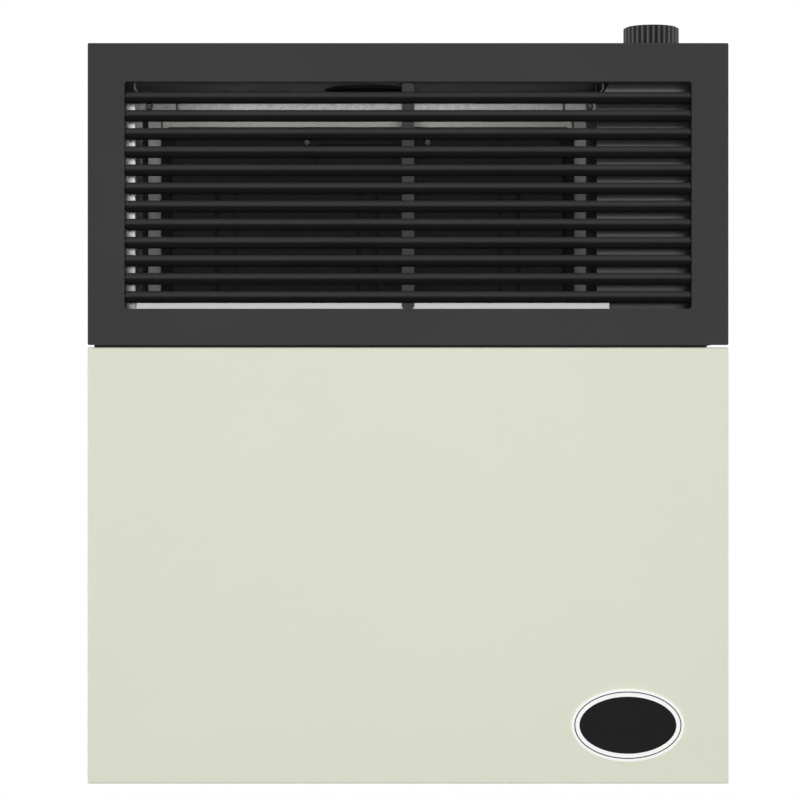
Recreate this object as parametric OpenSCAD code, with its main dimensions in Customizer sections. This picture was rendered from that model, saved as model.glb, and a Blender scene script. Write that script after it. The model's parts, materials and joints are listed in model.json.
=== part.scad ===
// Direct-vent gas wall heater: rod grille, sealed combustion chamber, top control knob.
// Inside each piece X runs across the cabinet from its middle, Y runs back from the
// front face and Z runs up from the bottom edge. in_cabinet() then moves the piece so
// that the origin is the middle of the four wall screws, on the wall.

/* [Cabinet] */
// Overall width of the cabinet
cab_w = 540; // [520:2:620]
// Overall height of the cabinet
cab_h = 624; // [610:2:680]
// Depth from the front face to the wall
cab_d = 220; // [212:1:260]
// Thickness of the casing and back panel sheet
sheet = 1; // [0.8:0.1:1.5]
// Outer radius of the casing's folded edges
bend_r = 1.5; // [1.2:0.1:5]
// Open seam between the upper and the lower casing
seam_gap = 2; // [1.5:0.1:4]
// How much higher the upper casing's sides end than its front
side_trim = 2.5; // [1:0.5:6]
// Running gap between the casings and the frame inside them
fit_gap = 0.3; // [0.2:0.05:0.8]

/* [Grille] */
// Width of the grille opening
grille_w = 478; // [460:2:490]
// Height of the grille opening
grille_h = 191.5; // [180:0.5:200]
// Black rail above the grille opening
top_rail = 32.5; // [30:0.5:40]
// Black rail below the grille opening
bottom_rail = 30.5; // [26:0.5:40]
// Depth of the flange folded in round the opening
grille_flange = 12; // [12:0.5:13]
// Diameter of a grille rod
rod_d = 10; // [8:0.5:10]
// Number of grille rods
rod_count = 12; // [10:1:13]
// Middle of the lowest rod above the opening's lower edge
rod_low = 10.2; // [8:0.1:14]
// Middle of the highest rod below the opening's upper edge
rod_high = 13; // [10:0.5:16]
// Rod surface behind the front face
rod_inset = 2; // [1:0.5:2]
// Length of the thin tenon at each end of a rod
tenon_l = 1.2; // [0.6:0.2:3]
// Corner radius of the grille opening
opening_r = 2.5; // [1:0.1:4]
// Width of the upright bar that ties the rods
tie_w = 10.5; // [8:0.5:16]
// Thickness of the tie bar
tie_t = 2; // [1.5:0.5:2.5]

/* [Controls] */
// Knob diameter
knob_d = 48; // [40:1:52]
// Knob height
knob_h = 16.5; // [14:0.5:18]
// Number of grip flutes round the knob
knob_flutes = 30; // [20:2:36]
// Depth of a grip flute
flute_d = 1.4; // [0.6:0.1:1.8]
// Top of the knob above the casing
knob_rise = 22.8; // [21.5:0.1:28]
// Knob axis in from the cabinet's right side
knob_side = 58.5; // [50:0.5:64]
// Knob axis behind the front face
knob_in = 75; // [70:1:80]
// Push travel of the knob
knob_travel = 4; // [3:0.5:5]
// Diameter of the long control shaft
shaft_d = 8; // [6:0.5:9]
// Diameter of the gas valve's own stem
stem_d = 6; // [5:0.5:7]
// Igniter button axis behind the knob axis
button_back = 55; // [46:1:60]
// Igniter button diameter
button_d = 14; // [12:0.5:15]
// Top of the igniter button above the casing
button_rise = 7; // [6.5:0.5:8]
// Push travel of the igniter button
button_travel = 6; // [4:0.5:6]
// Radial running clearance of shafts and buttons
run_gap = 0.05; // [0.03:0.01:0.09]

/* [Combustion chamber] */
// Width of the pressed chamber shells, without their seam flange
tray_w = 340; // [320:2:350]
// Chamber's lowest edge above the cabinet's bottom, without the flange
tray_foot = 95; // [90:1:100]
// Seam flange's top edge below the cabinet's top
chamber_drop = 60; // [58:1:64]
// Chamber's front face behind the cabinet's front face
tray_front = 60; // [58:1:66]
// Width of the seam flange
seam_flange = 12; // [10:0.5:14]
// Thickness of the chamber shells
shell_t = 1.2; // [1:0.1:1.6]
// Fold radius round a shell's face
tray_fold = 3; // [2.5:0.5:4]
// Corner radius of a shell seen from the front
tray_corner = 18; // [12:1:30]
// Thickness of the seam gasket
gasket_t = 1; // [0.8:0.1:2]
// Width of a pressed stiffening bead
bead_w = 19; // [14:0.5:24]
// How far a bead stands proud of the face
bead_h = 4; // [3:0.5:6]
// Spacing of the three beads
bead_pitch = 122.5; // [100:0.5:126]
// Bead tips below the chamber's top edge
bead_drop = 42; // [40:1:60]
// Space between the chamber flange and the cabinet's left side
left_space = 53; // [48:1:60]
// Space between the chamber flange and the compartment wall
right_space = 14.3; // [13.8:0.1:18]

/* [Burner] */
// Burner axis above the cabinet's bottom
burner_up = 162; // [158:1:166]
// Burner axis behind the chamber's front face
burner_in = 30; // [28:1:34]
// Burner tube diameter
burner_d = 38; // [34:1:42]
// Number of flame ports
port_count = 24; // [16:1:30]
// Width of the burner access door
door_w = 292; // [284:2:300]
// Height of the burner access door
door_h = 120; // [116:1:122]
// Thickness of the access door
door_t = 1.5; // [1.2:0.1:2]
// Diameter of the main gas tube
feed_d = 8; // [6:0.5:9]
// Outside diameter of the threaded gas inlet (3/8 inch pipe thread)
inlet_d = 17.1; // [13.7:0.1:21.3]
// Length of the gas inlet below the valve
inlet_l = 44.5; // [40:0.5:60]

/* [Flue] */
// Outside diameter of the inner flue spigot
flue_d = 100; // [90:1:104]
// Outside diameter of the outer air spigot
air_d = 150; // [140:1:156]
// Flue axis above the cabinet's bottom
flue_up = 455; // [440:1:460]
// Sheet thickness of the flue and air spigots
spigot_t = 1; // [0.8:0.1:1.5]
// Spigots end this far in front of the wall
spigot_set = 2; // [1:0.5:4]
// Width of the air duct behind the chamber
duct_w = 180; // [176:2:190]
// Space between the air duct and the wall
duct_gap = 20; // [18:0.5:22]
// Diameter of the chamber's air inlet neck
neck_d = 80; // [70:1:84]

/* [Shields and frame] */
// Thickness of the galvanised shields
shield_t = 0.8; // [0.6:0.1:1]
// Rear shield's face in front of the wall
rear_space = 50; // [49:0.5:52]
// Depth of the pressed field of the rear shield
field_d = 3; // [2:0.5:4]
// Front heat shield behind the front face
heat_in = 16; // [15:0.5:17]
// Length of the heat shield's folded lip
lip_l = 16.4; // [14:0.2:17]
// Control cover behind the front face
cover_in = 32; // [31.5:0.5:34]
// Wall screw holes in from the cabinet's sides
hole_side = 18; // [15:0.5:20]
// Wall screw holes in from the cabinet's top and bottom
hole_end = 62; // [56:1:70]
// Wall screw hole diameter
hole_d = 8; // [6:0.5:9]

/* [Badge] */
// Width of the oval plate
badge_w = 94.8; // [80:0.2:110]
// Height of the oval plate
badge_h = 61.3; // [50:0.1:70]
// Middle of the plate in from the cabinet's right side
badge_side = 85; // [75:1:110]
// Middle of the plate above the cabinet's bottom
badge_up = 49.5; // [42:0.5:70]
// Thickness of the plate's rim
badge_t = 1.8; // [1.4:0.1:3]
// Width of its raised rim
badge_rim = 2.3; // [1.5:0.1:4]
// Width of the groove inside the rim
badge_groove = 0.9; // [0.6:0.1:2]
// Width of the raised band inside the groove
badge_band = 3.4; // [2:0.1:6]

/* [Hidden] */
$fn = 64;

charcoal = [0.17, 0.17, 0.17];
black_enamel = [0.07, 0.07, 0.07];
cream = [0.86, 0.87, 0.80];
galvanised = [0.66, 0.67, 0.66];
bright_steel = [0.75, 0.75, 0.75];
brass = [0.78, 0.62, 0.30];
cast_alloy = [0.62, 0.62, 0.60];
fibre = [0.82, 0.80, 0.74];
black_plastic = [0.04, 0.04, 0.04];

// --- casing ---
side_in = cab_w/2 - sheet;               // inner face of a casing side
case_d = cab_d - sheet;                  // the casings stop short of the wall
top_in = cab_h - sheet;                  // underside of the casing's top
grille_top = cab_h - top_rail;
grille_foot = grille_top - grille_h;
upper_foot = grille_foot - bottom_rail;
lower_h = upper_foot - seam_gap;
rod_y = rod_inset + rod_d/2;
rod_pitch = (grille_h - rod_low - rod_high)/(rod_count - 1);
rods_back = rod_inset + rod_d;           // the tie bar lies on the backs of the rods
tongue_y = 4;                            // dark tongue behind the seam
tongue_t = 1;
tongue_l = 17.5;
tongue_left = 5.3;                       // tongue ends inside the left and right sides
tongue_right = 18;
hem_d = 3.4;                             // hem folded in along the lower casing's top
hem_r = 2;
foot_flange = 13;                        // flange folded in round the casing's bottom

// --- screws that hold the casings to the back panel ---
screw_d = 3.6;
screw_hole_d = 3.9;
screw_head_d = 8;
screw_head_h = 2.3;
small_screw_d = 3;
small_hole_d = 3.2;
panel_flange = 25;
screw_y = cab_d - panel_flange/2;
screw_ups = [hole_end, lower_h - 60, upper_foot + 50, grille_top - 12];
panel_foot = sheet + 1;

// --- chamber and what is placed from it ---
half_flange = tray_w/2 + seam_flange;
chamber_x = -cab_w/2 + left_space + half_flange;
flange_top = cab_h - chamber_drop;
tray_top = flange_top - seam_flange;
shield_y = cab_d - rear_space;           // face of the rear shield
field_y = shield_y + field_d;            // its pressed field
stand_off = 5;                           // chamber back to the shield's outer face
tray_back = shield_y - stand_off;
seam_y = (tray_front + tray_back)/2;     // middle of the gasket
flange_corner = 8;                       // corner radius of the seam flange
wall_x = chamber_x + half_flange + right_space;  // compartment wall, left face
shield_left = chamber_x - half_flange - 17.4;    // rear shield's left edge
shield_foot = 60;
shield_top = grille_top - 1.5;
field_w = 2*half_flange + 6;
leg_flange = 9;                          // leg's flange behind the shield
leg_foot = 12;                           // leg's foot on the back panel
bolt_x = 140;                            // chamber bolts either side of the middle
bolt_ups = [tray_foot + 45, tray_top - 32];
neck_up = tray_foot + 65;
neck_t = 1.2;
bead_r = ((bead_w/2)*(bead_w/2) + bead_h*bead_h)/(2*bead_h);
bead_top = tray_top - bead_drop;
bead_tip = 8;                            // bead tips clear of the access door

// --- burner door and what it carries ---
door_foot = tray_foot + 7;
door_top = door_foot + door_h;
door_land = 14;                          // sealing land round the door opening
door_back = tray_front - gasket_t;
door_y = door_back - door_t;             // front face of the door
door_screw_in = 7;
sight_up = burner_up;
sight_r = 14;
sight_glass_r = 20;
sight_frame_r = 24;
glass_t = 2;
burner_y = tray_front + burner_in;
injector_x = chamber_x + 107;            // elbow that feeds the burner's venturi
pilot_x = chamber_x + 75;
probe_x = chamber_x + 87;
spark_x = chamber_x + 63;
pilot_up = burner_up + 23;
probe_up = burner_up + 33;
spark_up = burner_up + 43;
burner_left = chamber_x - 130;
venturi_x = injector_x - 62;             // ports end here and the venturi begins
fitting_l = 8;

// --- controls ---
knob_x = cab_w/2 - knob_side;
knob_foot = cab_h + knob_rise - knob_h;
hub_r = 8;
hub_h = 4.3;
shaft_top = cab_h + knob_rise - 5.8;
valve_foot = burner_up - 22.5;
valve_w = 40;
valve_d = 36;
valve_h = 38.5;
cap_top = valve_foot + valve_h + 6;
boss_top = cap_top + 6;
bulb_r = 5;
bulb_l = 80;                             // room thermostat's bulb
bulb_foot = valve_foot - 108;
bulb_aside = 11.5;                       // bulb right of the knob axis
bulb_y = cab_d - 15;
stem_foot = cap_top - 2;
spring_l = 14.2;
washer_t = 1.5;
coupling_foot = boss_top + spring_l + washer_t + fit_gap;
coupling_l = 26;
coupling_r = 8;
stem_top = coupling_foot + 11.5;
shaft_foot = stem_top + 1;
bracket_t = 1.2;
bracket_up = grille_top - 21.5;          // top control bracket
bracket_front = cover_in + 18;
bush_r = 9;
button_y = knob_in + button_back;
piezo_r = 9;
piezo_floor = cab_h - 38;                // bottom of the button's bore
button_foot = cab_h - 24;
piezo_foot = bracket_up - 40;
terminal_h = 6;
deflector_up = cab_h - 25.3;
deflector_back = 190;
recess_r = 38;                           // round opening in the deflector
recess_y = 126;
cover_top = deflector_up - 2;
cover_right = side_in - 7;
strap_in = 32;                           // deflector's straps behind the control cover
strap_w = 14;
strap_steps = [4.2, 6.6];                // left and right strap out from what carries them
cover_foot = grille_foot - 5;            // clear of the compartment wall's step

// --- shields ---
fold = 1.5;                              // centreline fold radius of the shields
heat_left = chamber_x - half_flange - 13.7;  // heat shield's left edge
heat_right = wall_x + 9.7;
heat_foot = 40;
heat_fold = grille_foot - 2;             // where the lip starts
arm_x = heat_left - fit_gap;             // inner face of the left arm and side shield
frame_flange = 12;                       // flanges of the left arm and compartment wall
step_up = heat_fold - 4;                 // compartment wall steps back above this
brace_y = 45;
brace_foot = grille_top - 25.5;
brace_h = 18;
brace_step = 2;

// --- flue ---
duct_front = field_y + shield_t;
duct_back = cab_d - duct_gap;
duct_foot = neck_up - 45;
duct_top = flue_up + 90;
duct_flange = 10;
spigot_end = cab_d - spigot_set;
pipe_room = 3;                           // gap round the outer spigot for its pipe

hole_x = cab_w/2 - hole_side;
hole_mid = cab_h/2;

// ---------------------------------------------------------------- helpers

module in_cabinet() translate([0, -cab_d, -hole_mid]) children();

module along_x(r, l) rotate([0, 90, 0]) cylinder(r = r, h = l);

module along_y(r, l) rotate([-90, 0, 0]) cylinder(r = r, h = l);

// Cutter that leaves a round corner of radius r at the origin
module corner_cut(r) {
    difference() {
        translate([-1, -1]) square(r + 1);
        translate([r, r]) circle(r);
    }
}

// Rectangle from the origin with a radius for each corner, 0 for a square one
module plate_outline(w, h, foot_left, foot_right, top_right, top_left) {
    difference() {
        square([w, h]);
        if (foot_left > 0) corner_cut(foot_left);
        if (foot_right > 0) translate([w, 0]) mirror([1, 0]) corner_cut(foot_right);
        if (top_right > 0) translate([w, h]) rotate(180) corner_cut(top_right);
        if (top_left > 0) translate([0, h]) mirror([0, 1]) corner_cut(top_left);
    }
}

// Flat plate in the XZ plane, its front at y = 0, with one corner radius
module flat_plate(w, h, t, r) {
    translate([-w/2, t, 0]) rotate([90, 0, 0]) linear_extrude(t) plate_outline(w, h, r, r, r, r);
}

// Block centred on X whose front edges are folded round: plan_r for the upright ones,
// face_r and side_r are [foot, top] radii seen from the front and from the side
module folded_block(w, d, h, plan_r, face_r, side_r) {
    intersection() {
        translate([-w/2, 0, 0]) linear_extrude(h) plate_outline(w, d, plan_r, plan_r, 0, 0);
        translate([-w/2, d, 0]) rotate([90, 0, 0]) linear_extrude(d)
            plate_outline(w, h, face_r[0], face_r[0], face_r[1], face_r[1]);
        translate([-w/2, 0, 0]) rotate([90, 0, 90]) linear_extrude(w)
            plate_outline(d, h, side_r[0], 0, 0, side_r[1]);
    }
}

function heading(a, b) = (b - a)/norm(b - a);

// Folded sheet in section: a centreline, a thickness and a fold radius for its
// square corners (0 where the centreline turns at another angle)
module strip(pts, t, r = 0) {
    last = len(pts) - 1;
    for (i = [0:last - 1]) {
        u = heading(pts[i], pts[i + 1]);
        a = pts[i] + u*(i > 0 ? r : 0);
        b = pts[i + 1] - u*(i < last - 1 ? r : 0);
        translate(a) rotate(atan2(u.y, u.x)) translate([0, -t/2]) square([norm(b - a), t]);
    }
    for (i = [1:1:last - 1]) {
        u = heading(pts[i - 1], pts[i]);
        v = heading(pts[i], pts[i + 1]);
        c = pts[i] + (v - u)*r;
        far = c + (u - v)*(r + t/2);
        if (r > 0) {
            intersection() {
                translate(c) difference() {
                    circle(r + t/2);
                    circle(r - t/2);
                }
                translate([min(c.x, far.x), min(c.y, far.y)])
                    square([abs(far.x - c.x), abs(far.y - c.y)]);
            }
        } else {
            translate(pts[i]) circle(d = t);
        }
    }
}

// Round tube along straight runs parallel to the axes, with bends of radius bend
module tube_run(pts, r, bend) {
    last = len(pts) - 1;
    for (i = [0:last - 1]) {
        w = heading(pts[i], pts[i + 1]);
        a = pts[i] + w*(i > 0 ? bend : 0);
        b = pts[i + 1] - w*(i < last - 1 ? bend : 0);
        p = [w.y, w.z, w.x];
        q = cross(w, p);
        multmatrix([[p.x, q.x, w.x, a.x], [p.y, q.y, w.y, a.y], [p.z, q.z, w.z, a.z], [0, 0, 0, 1]])
            cylinder(r = r, h = norm(b - a));
    }
    for (i = [1:1:last - 1]) {
        u = heading(pts[i - 1], pts[i]);
        v = heading(pts[i], pts[i + 1]);
        w = cross(u, v);
        c = pts[i] + (v - u)*bend;
        multmatrix([[-v.x, u.x, w.x, c.x], [-v.y, u.y, w.y, c.y], [-v.z, u.z, w.z, c.z], [0, 0, 0, 1]])
            rotate_extrude(angle = 90) translate([bend, 0]) circle(r);
    }
}

// Compression spring standing on z = 0, wound as one wire
module coil_spring(coil_r, wire_r, turns, l) {
    sides = 6;
    steps = 16*turns;
    rise = (l - 2*wire_r)/steps;
    pts = [for (i = [0:steps], j = [0:sides - 1])
        let (a = 22.5*i, b = 360*j/sides, reach = coil_r + wire_r*cos(b))
        [reach*cos(a), reach*sin(a), wire_r + rise*i + wire_r*sin(b)]];
    skin = [for (i = [0:steps - 1], j = [0:sides - 1], k = [0, 1])
        let (n = (j + 1) % sides, here = sides*i, next = sides*(i + 1))
        k == 0 ? [here + j, here + n, next + j] : [here + n, next + n, next + j]];
    caps = [for (j = [1:sides - 2]) [0, j + 1, j], for (j = [1:sides - 2])
        [sides*steps, sides*steps + j, sides*steps + j + 1]];
    polyhedron(points = pts, faces = concat(skin, caps));
}

// Pan-head screw: head in front of y = 0, shank behind it
module pan_screw(head_d, head_h, shank_d, shank_l) {
    dome = head_h*0.4;
    rotate([-90, 0, 0]) {
        cylinder(d = shank_d, h = shank_l);
        translate([0, 0, dome - head_h]) cylinder(d = head_d, h = head_h - dome);
        translate([0, 0, -head_h]) cylinder(d1 = head_d*0.7, d2 = head_d, h = dome);
    }
}

// ---------------------------------------------------------------- casings

module at_casing_screws() {
    for (side = [-1, 1], up = screw_ups) translate([side*cab_w/2, screw_y, up])
        rotate([0, 0, side > 0 ? 90 : -90]) children();
}

module casing_screws() color(bright_steel) in_cabinet()
    at_casing_screws() pan_screw(screw_head_d, screw_head_h, screw_d, 2*sheet + 2);

module screw_holes(d) at_casing_screws() translate([0, -1, 0]) along_y(d/2, 8);

module upper_casing() color(charcoal) in_cabinet() {
    h = cab_h - upper_foot;
    inner_r = bend_r - sheet;
    difference() {
        union() {
            difference() {
                translate([0, 0, upper_foot])
                    folded_block(cab_w, case_d, h, bend_r, [bend_r, bend_r], [0, bend_r]);
                translate([0, sheet, upper_foot - 1])
                    folded_block(2*side_in, case_d, h - sheet + 1, inner_r, [0, inner_r], [0, inner_r]);
            }
            translate([0, 0, grille_foot - sheet])
                flat_plate(grille_w + 2*sheet, grille_h + 2*sheet, grille_flange, opening_r + sheet);
            translate([-cab_w/2 + tongue_left, 0, upper_foot])
                cube([cab_w - tongue_left - tongue_right, tongue_y + tongue_t, tongue_t]);
            translate([-cab_w/2 + tongue_left, tongue_y, upper_foot - tongue_l])
                cube([cab_w - tongue_left - tongue_right, tongue_t, tongue_l + tongue_t]);
        }
        translate([0, -1, grille_foot]) flat_plate(grille_w, grille_h, grille_flange + 2, opening_r);
        for (side = [-1, 1]) translate([side*cab_w/2 - bend_r, bend_r, upper_foot - 1])
            cube([2*bend_r, cab_d, side_trim + 1]);
        translate([knob_x, knob_in, top_in - 1]) cylinder(r = hub_r + 1.5, h = sheet + 2);
        translate([knob_x, button_y, top_in - 1]) cylinder(r = button_d/2 + 1, h = sheet + 2);
        screw_holes(screw_hole_d);
    }
}

module grille_rods() color(charcoal) in_cabinet() {
    for (i = [0:rod_count - 1]) translate([0, rod_y, grille_foot + rod_low + i*rod_pitch]) {
        translate([-grille_w/2 + tenon_l, 0, 0]) along_x(rod_d/2, grille_w - 2*tenon_l);
        translate([-grille_w/2, 0, 0]) along_x(rod_d*0.3, grille_w);
    }
}

module grille_tie_bar() color(charcoal) in_cabinet() {
    waist = tie_w*0.36;
    taper = 2.5;
    lap = sheet*0.8;
    half = [[waist, -lap], [waist, 0], [tie_w/2, taper], [tie_w/2, grille_h - taper],
        [waist, grille_h], [waist, grille_h + lap]];
    translate([0, rods_back + tie_t, grille_foot]) rotate([90, 0, 0]) linear_extrude(tie_t)
        polygon(concat(half, [for (i = [len(half) - 1:-1:0]) [-half[i].x, half[i].y]]));
}

module lower_casing() color(cream) in_cabinet() {
    inner_r = bend_r - sheet;
    difference() {
        folded_block(cab_w, case_d, lower_h, bend_r, [bend_r, bend_r], [bend_r, hem_r]);
        translate([0, sheet, sheet]) folded_block(2*side_in, case_d, lower_h - 2*sheet,
            inner_r, [inner_r, inner_r], [inner_r, hem_r - sheet]);
        translate([-side_in, hem_d, sheet + inner_r]) cube([2*side_in, cab_d, lower_h]);
        translate([-side_in + foot_flange - sheet, foot_flange, -1])
            cube([2*(side_in - foot_flange + sheet), cab_d, sheet + 2]);
        screw_holes(screw_hole_d);
    }
}

module oval(w, t) scale([1, 1, (badge_h - badge_w + w)/w]) along_y(w/2, t);

module badge_plate() color(cream) in_cabinet() {
    sunk = 0.8;
    line_w = badge_w - 2*badge_rim;
    band_w = line_w - 2*badge_groove;
    field_w = band_w - 2*badge_band;
    $fn = 128;
    translate([cab_w/2 - badge_side, -badge_t, badge_up]) difference() {
        oval(badge_w, badge_t);
        difference() {
            translate([0, -1, 0]) oval(line_w, sunk + 1);
            translate([0, -2, 0]) oval(band_w, sunk + 3);
        }
        translate([0, -1, 0]) oval(field_w, sunk + 1);
    }
}

// ---------------------------------------------------------------- frame and shields

module back_panel() color(galvanised) in_cabinet() {
    half = side_in - fit_gap;
    top = top_in - fit_gap;
    difference() {
        translate([-half, cab_d, panel_foot]) rotate([90, 0, 0]) linear_extrude(panel_flange)
            plate_outline(2*half, top - panel_foot, 0, 0, bend_r, bend_r);
        translate([-half + sheet, cab_d - panel_flange - 1, panel_foot + sheet])
            cube([2*(half - sheet), panel_flange + 1 - sheet, top - panel_foot - 2*sheet]);
        for (side = [-1, 1], up = [hole_end, cab_h - hole_end])
            translate([side*hole_x, cab_d - 5, up]) along_y(hole_d/2, 10);
        translate([chamber_x, cab_d - 5, flue_up]) along_y(air_d/2 + pipe_room, 10);
        screw_holes(screw_hole_d);
    }
}

module rear_shield() color(galvanised) in_cabinet() {
    w = wall_x - shield_left;
    h = shield_top - shield_foot;
    field_left = chamber_x - field_w/2;
    field_foot = shield_foot + 15;
    field_h = h - 21;
    t = shield_t;
    difference() {
        union() {
            difference() {
                translate([shield_left, shield_y, shield_foot]) cube([w, t, h]);
                translate([field_left, shield_y - 1, field_foot]) cube([field_w, t + 2, field_h]);
            }
            difference() {
                translate([field_left - t, shield_y, field_foot - t])
                    cube([field_w + 2*t, field_d + t, field_h + 2*t]);
                translate([field_left, shield_y - 1, field_foot]) cube([field_w, field_d + 1, field_h]);
            }
        }
        translate([chamber_x, shield_y - 1, flue_up]) along_y(flue_d/2 - 1.5, field_d + 3);
        translate([chamber_x, shield_y - 1, neck_up]) along_y(neck_d/2 + 0.5, field_d + 3);
        at_chamber_bolts() translate([0, shield_y - 1, 0]) along_y(3.3, field_d + 3);
    }
}

// Folded legs that carry the rear shield off the back panel, welded to its sides
module shield_legs() color(galvanised) in_cabinet() {
    t = shield_t;
    front = shield_y + 1.5*t;
    back = case_d - t/2;
    translate([0, 0, shield_foot]) linear_extrude(shield_top - shield_foot) {
        strip([[shield_left + leg_flange, front], [shield_left + t/2, front], [shield_left + t/2, back],
            [shield_left - leg_foot, back]], t, fold);
        strip([[wall_x - leg_flange, front], [wall_x - t/2, front], [wall_x - t/2, back],
            [wall_x - leg_foot, back]], t, fold);
    }
}

module at_chamber_bolts() {
    for (side = [-1, 1], up = bolt_ups) translate([chamber_x + side*bolt_x, 0, up]) children();
}

module chamber_spacers() color(bright_steel) in_cabinet()
    at_chamber_bolts() translate([0, tray_back, 0]) difference() {
        along_y(8, field_y - tray_back);
        translate([0, -1, 0]) along_y(3.3, field_y - tray_back + 2);
    }

module chamber_bolts() color(bright_steel) in_cabinet()
    at_chamber_bolts() translate([0, tray_back, 0]) {
        along_y(3, field_y + shield_t - tray_back);
        translate([0, field_y + shield_t - tray_back, 0]) rotate([-90, 0, 0]) cylinder(r = 5.8, h = 4, $fn = 6);
    }

module left_side_shield() color(galvanised) in_cabinet() {
    t = shield_t;
    y = heat_in + 2 + t/2;
    foot = upper_foot + 15.5;
    outer = -side_in + fit_gap + t/2;
    outer_l = 22;
    inner_l = 62;
    hem = 14;
    translate([0, 0, foot]) linear_extrude(grille_top - 11.5 - foot) strip([
        [outer, y + outer_l], [outer, y], [arm_x - t/2, y],
        [arm_x - t/2, y + inner_l], [arm_x - hem, y + inner_l]], t, fold);
}

module left_frame_arm() color(galvanised) in_cabinet() {
    t = shield_t;
    front = heat_in + 1.5*t;
    foot = heat_foot - 10;
    translate([0, 0, foot]) linear_extrude(upper_foot + 10.5 - foot) strip([
        [arm_x + frame_flange, front], [arm_x - t/2, front], [arm_x - t/2, shield_y - t/2],
        [arm_x + frame_flange, shield_y - t/2]], t, fold);
}

module compartment_wall() color(black_enamel) in_cabinet() {
    t = shield_t;
    low_y = heat_in + 2*t;
    high_y = cover_in + t;
    foot = heat_foot - 10;
    top = cover_top - 2;
    difference() {
        union() {
            translate([wall_x, 0, 0]) rotate([90, 0, 90]) linear_extrude(t) polygon([
                [low_y, foot], [case_d, foot], [case_d, top], [high_y + 18, top],
                [high_y, top - 18], [high_y, step_up], [low_y, step_up]]);
            translate([wall_x, case_d - t, foot]) cube([frame_flange, t, top - foot]);
            translate([wall_x, heat_in + t, foot]) cube([frame_flange, t, step_up - foot]);
        }
        translate([wall_x - 1, knob_in, burner_up]) along_x(feed_d/2 + 2, t + 2);
        translate([wall_x - 1, pilot_lane, pilot_up]) along_x(4, t + 2);
        translate([wall_x - 1, probe_lane, probe_up]) along_x(3, t + 2);
        translate([wall_x - 1, button_y, spark_up]) along_x(3.5, t + 2);
    }
}

module control_cover() color(charcoal) in_cabinet() {
    t = shield_t;
    lip = 14;
    h = cover_top - cover_foot;
    w = cover_right - wall_x;
    cut_w = 12.7;
    cut_h = 20;
    translate([wall_x, cover_in + t, cover_foot]) rotate([90, 0, 0]) linear_extrude(t)
        polygon([[0, 0], [w, 0], [w, h], [cut_w, h], [0, h - cut_h]]);
    translate([wall_x + t, cover_in, cover_foot]) cube([t, lip, h - cut_h - 1]);
    translate([wall_x + w - t, cover_in, cover_foot]) cube([t, lip, h]);
}

module front_heat_shield() color(galvanised) in_cabinet() {
    t = shield_t;
    y = heat_in + t/2;
    lip = lip_l*sqrt(0.5);
    hem_left = arm_x + frame_flange + 1;
    translate([heat_left, 0, 0]) rotate([90, 0, 90]) linear_extrude(heat_right - heat_left)
        strip([[y, heat_foot], [y, heat_fold], [y + lip, heat_fold + lip]], t);
    translate([hem_left, 0, 0]) rotate([90, 0, 90]) linear_extrude(wall_x - 1 - hem_left)
        strip([[y, heat_foot + t/2], [y + 10, heat_foot + t/2]], t);
}

module cross_brace() color(galvanised) in_cabinet() {
    t = shield_t;
    y = brace_y + t/2;
    left = arm_x + t/2;
    right = wall_x - t/2;
    field_l = chamber_x - 163;
    field_r = chamber_x + 169;
    difference() {
        translate([0, 0, brace_foot]) linear_extrude(brace_h) strip([
            [left, y + 12], [left, y], [field_l, y], [field_l + brace_step, y - brace_step],
            [field_r - brace_step, y - brace_step], [field_r, y], [right, y], [right, y + 12]], t);
        at_brace_screws() translate([0, -1, 0]) along_y(small_hole_d/2, t + 2);
    }
}

module at_brace_screws()
    for (x = [arm_x + 9, wall_x - 5.5]) translate([x, brace_y, brace_foot + brace_h/2]) children();

module brace_screws() color(bright_steel) in_cabinet()
    at_brace_screws() pan_screw(6.6, 2, small_screw_d, 8);

module top_deflector() color(black_enamel) in_cabinet() {
    t = shield_t;
    half = side_in - 3;
    up_fold = 12;
    difference() {
        union() {
            translate([-half, sheet, deflector_up]) cube([2*half, deflector_back - sheet, t]);
            translate([-half, sheet, deflector_up]) cube([2*half, t, up_fold]);
            translate([-half, deflector_back - t, deflector_up]) cube([2*half, t, up_fold]);
            translate([chamber_x, recess_y, deflector_up - 2.5]) cylinder(r = recess_r + t, h = 2.5 + t);
        }
        translate([chamber_x, recess_y, deflector_up - 4]) cylinder(r = recess_r, h = 6);
        translate([knob_x, knob_in, deflector_up - 1]) cylinder(r = 11, h = 3);
        translate([knob_x, button_y, deflector_up - 1]) cylinder(r = 11, h = 3);
    }
}

// Straps that carry the deflector on the side shield and on the compartment wall
module deflector_brackets() color(galvanised) in_cabinet() {
    t = shield_t;
    leg = 38;
    lap = 1.5;
    drop = 6;
    joint = 0.5;
    strap_fold = 2;
    for (i = [0, 1]) {
        step = strap_steps[i];
        face = i == 0 ? arm_x - t : wall_x + t;
        translate([face, cover_in + strap_in + strap_w, deflector_up]) mirror([1 - i, 0, 0])
            rotate([90, 0, 0]) linear_extrude(strap_w) {
                strip([[-lap, -t/2], [t/2 + step, -t/2], [t/2 + step, -drop]], t, strap_fold);
                strip([[t/2 + step, joint - drop], [t/2 + step, -drop], [t/2, -drop - 1.2*step],
                    [t/2, -leg]], t);
            }
    }
}

// ---------------------------------------------------------------- chamber

// Pressed shell, its face at y = 0 and open behind, with a flange round its mouth
module pressed_shell(depth) {
    h = tray_top - tray_foot;
    t = shell_t;
    difference() {
        union() {
            folded_block(tray_w, depth, h, tray_fold, [tray_corner, tray_corner], [tray_fold, tray_fold]);
            translate([0, depth - t, -seam_flange])
                flat_plate(2*half_flange, h + 2*seam_flange, t, flange_corner);
            children(0);
        }
        translate([0, t, t]) folded_block(tray_w - 2*t, depth, h - 2*t, tray_fold - t,
            [tray_corner - t, tray_corner - t], [tray_fold - t, tray_fold - t]);
        children(1);
    }
}

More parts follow.
